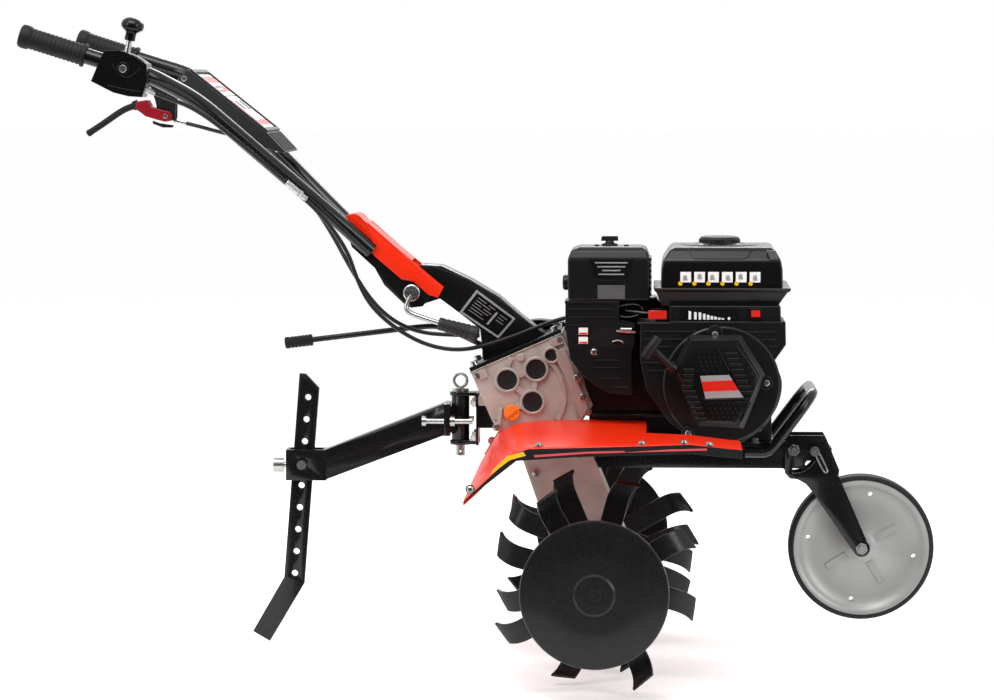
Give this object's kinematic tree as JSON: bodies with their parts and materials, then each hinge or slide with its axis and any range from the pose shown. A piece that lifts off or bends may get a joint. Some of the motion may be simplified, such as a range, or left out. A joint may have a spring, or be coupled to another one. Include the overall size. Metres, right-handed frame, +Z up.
{
  "type": "petrol rotary tiller",
  "caption": "Walk-behind petrol tiller: engine over a chain-case gearbox, tined rotor with guard discs, tilting handlebar, depth stake on a hitch and swing-up transport wheel.",
  "frame": {"origin": "centre of the footprint of the whole machine, on the ground that the tines stand on", "axes": "+X forward, from the handlebar to the transport wheel; +Y the machine's left side, where the belt guard is; +Z up"},
  "size_m": [1.4949, 0.854, 1.089],
  "materials": {
    "cast_aluminium": "sand-cast, satin",
    "black_paint": "gloss black enamel",
    "red_paint": "gloss vermilion enamel",
    "zinc": "bright zinc plate",
    "steel": "machined steel",
    "black_plastic": "moulded, fine texture",
    "gloss_plastic": "gloss black moulding",
    "red_plastic": "gloss red moulding",
    "rubber": "moulded rubber",
    "tyre": "black tyre",
    "grey_paint": "satin grey enamel",
    "tine_paint": "black dip paint",
    "cable_sheath": "black cable sheath",
    "heat_steel": "heatproof grey-black"
  },
  "bodies": {
    "chassis": {"gearbox_case_right": "cast_aluminium", "gearbox_case_left": "cast_aluminium", "gearbox_top_cover": "black_paint", "bearing_caps": "black_plastic", "case_bolts": "zinc", "hitch_bracket": "zinc", "front_beam": "black_paint", "crankcase": "cast_aluminium", "cylinder_block": "cast_aluminium", "carburettor": "cast_aluminium", "air_filter_base": "black_plastic", "muffler": "heat_steel", "fuel_tank": "gloss_plastic", "blower_housing": "gloss_plastic", "recoil_cover": "black_plastic", "belt_guard": "black_plastic", "drive_belt": "rubber", "drive_chain": "steel", "fender_right": "red_paint", "fender_left": "red_paint", "bumper_hoop": "black_paint", "handle_column": "black_paint"},
    "handlebar": {"handle_yoke": "black_paint", "handle_tubes": "black_paint", "handle_grips": "rubber", "throttle_box": "black_plastic", "console": "black_plastic", "column_cover": "red_paint", "clutch_bracket": "black_plastic", "throttle_cable": "cable_sheath", "clutch_cable": "cable_sheath"},
    "throttle_stick": {"throttle_stick": "zinc"},
    "clutch_lever": {"clutch_lever": "red_plastic"},
    "lever_catch": {"lever_catch": "black_plastic"},
    "clamp_lever": {"clamp_lever": "zinc"},
    "tine_rotor": {"tine_shaft": "steel", "tine_set_right": "tine_paint", "tine_set_left": "tine_paint", "guard_discs": "tine_paint"},
    "input_gear": {"input_shaft": "steel", "driven_pulley": "steel"},
    "middle_gear": {"intermediate_gear": "steel"},
    "crank": {"crankshaft": "steel"},
    "tensioner": {"tensioner": "steel"},
    "drawbar": {"drawbar": "black_paint", "drawbar_bolts": "zinc"},
    "stake": {"stake": "black_paint"},
    "hitch_pin": {"hitch_pin": "zinc"},
    "wheel_arm": {"fork_arm": "black_paint"},
    "lock_pin": {"wheel_lock_pin": "zinc"},
    "transport_wheel": {"wheel_rim": "grey_paint", "wheel_tyre": "tyre"},
    "shift_lever": {"shift_lever": "black_paint"},
    "recoil_handle": {"recoil_handle": "black_plastic"},
    "throttle_tab": {"engine_throttle": "red_plastic"},
    "choke": {"choke_lever": "zinc"},
    "switch": {"stop_switch": "red_plastic"},
    "fuel_cap": {"fuel_cap": "black_plastic"},
    "filter_cover": {"filter_cover": "black_plastic"},
    "filter_knob": {"filter_knob": "black_plastic"}
  },
  "joints": [
    {"name": "tine_spin", "type": "hinge", "parent": "chassis", "child": "tine_rotor", "pos_m": [0.181, 0, 0.174], "axis": [0, 1, 0], "continuous": true},
    {"name": "middle_spin", "type": "hinge", "parent": "chassis", "child": "middle_gear", "pos_m": [0.07199, 0, 0.44984], "axis": [0, 1, 0], "continuous": true},
    {"name": "input_spin", "type": "hinge", "parent": "chassis", "child": "input_gear", "pos_m": [0.078, 0, 0.5035], "axis": [0, 1, 0], "continuous": true},
    {"name": "crank_spin", "type": "hinge", "parent": "chassis", "child": "crank", "pos_m": [0.384, 0, 0.4875], "axis": [0, 1, 0], "continuous": true},
    {"name": "tensioner_swing", "type": "hinge", "parent": "chassis", "child": "tensioner", "pos_m": [0.175, 0.109, 0.497], "axis": [0, -1, 0], "range_deg": [0, 9]},
    {"name": "handle_tilt", "type": "hinge", "parent": "chassis", "child": "handlebar", "pos_m": [-0.1317, 0, 0.6285], "axis": [0, 1, 0], "range_deg": [-24, 12], "deforming": ["throttle_cable", "clutch_cable"]},
    {"name": "clamp_turn", "type": "hinge", "parent": "handlebar", "child": "clamp_lever", "pos_m": [-0.1317, -0.055, 0.6285], "axis": [0, -1, 0], "range_deg": [0, 70]},
    {"name": "throttle_swing", "type": "hinge", "parent": "handlebar", "child": "throttle_stick", "pos_m": [-0.576, -0.297, 1.0016], "axis": [0, 1, 0], "range_deg": [-35, 35]},
    {"name": "clutch_squeeze", "type": "hinge", "parent": "handlebar", "child": "clutch_lever", "pos_m": [-0.5873, 0.288, 0.9203], "axis": [0, 1, 0], "range_deg": [0, 30], "stiffness_Nm_per_rad": 1.5, "springref_deg": -20.05},
    {"name": "catch_swing", "type": "hinge", "parent": "handlebar", "child": "lever_catch", "pos_m": [-0.58, 0.288, 0.903], "axis": [0, 1, 0], "range_deg": [-20, 0]},
    {"name": "shift_swing", "type": "hinge", "parent": "chassis", "child": "shift_lever", "pos_m": [-0.01, 0.06, 0.529], "axis": [0, -1, 0], "range_deg": [-12, 12]},
    {"name": "hitch_swing", "type": "hinge", "parent": "chassis", "child": "drawbar", "pos_m": [-0.0525, 0, 0.415], "axis": [0, 0, 1], "range_deg": [-12, 12]},
    {"name": "stake_slide", "type": "slide", "parent": "drawbar", "child": "stake", "axis": [0.0792, 0, 0.9969], "range_m": [-0.1128, 0.1128]},
    {"name": "hitch_pin_lift", "type": "slide", "parent": "chassis", "child": "hitch_pin", "axis": [0, 0, 1], "range_m": [0, 0.09]},
    {"name": "wheel_arm_swing", "type": "hinge", "parent": "chassis", "child": "wheel_arm", "pos_m": [0.5085, 0, 0.3659], "axis": [0, -1, 0], "range_deg": [0, 80.3]},
    {"name": "lock_pin_pull", "type": "slide", "parent": "chassis", "child": "lock_pin", "axis": [0, -1, 0], "range_m": [0, 0.1]},
    {"name": "wheel_spin", "type": "hinge", "parent": "wheel_arm", "child": "transport_wheel", "pos_m": [0.6228, 0, 0.2], "axis": [0, 1, 0], "continuous": true},
    {"name": "recoil_pull", "type": "slide", "parent": "chassis", "child": "recoil_handle", "axis": [-0.718, 0, 0.696], "range_m": [0, 0.45], "stiffness_N_per_m": 20, "springref_m": -0.1},
    {"name": "engine_throttle_turn", "type": "hinge", "parent": "chassis", "child": "throttle_tab", "pos_m": [0.279, -0.08, 0.597], "axis": [0, 0, 1], "range_deg": [-18, 0]},
    {"name": "choke_slide", "type": "slide", "parent": "chassis", "child": "choke", "axis": [1, 0, 0], "range_m": [0, 0.01]},
    {"name": "switch_rock", "type": "hinge", "parent": "chassis", "child": "switch", "pos_m": [0.4392, -0.176, 0.604], "axis": [0, 0, 1], "range_deg": [-8, 8]},
    {"name": "fuel_cap_turn", "type": "hinge", "parent": "chassis", "child": "fuel_cap", "pos_m": [0.382, -0.06, 0.711], "axis": [0, 0, 1], "range_deg": [0, 90]},
    {"name": "filter_cover_lift", "type": "slide", "parent": "chassis", "child": "filter_cover", "axis": [0, 0, 1], "range_m": [0, 0.12]},
    {"name": "filter_knob_turn", "type": "hinge", "parent": "filter_cover", "child": "filter_knob", "pos_m": [0.2, -0.096, 0.711], "axis": [0, 0, 1], "continuous": true}
  ],
  "couplings": [
    {"joint": "middle_spin", "follows": "tine_spin", "ratio": 1.7092},
    {"joint": "input_spin", "follows": "tine_spin", "ratio": -3.4184},
    {"joint": "tensioner_swing", "follows": "clutch_squeeze", "ratio": 0.3}
  ]
}
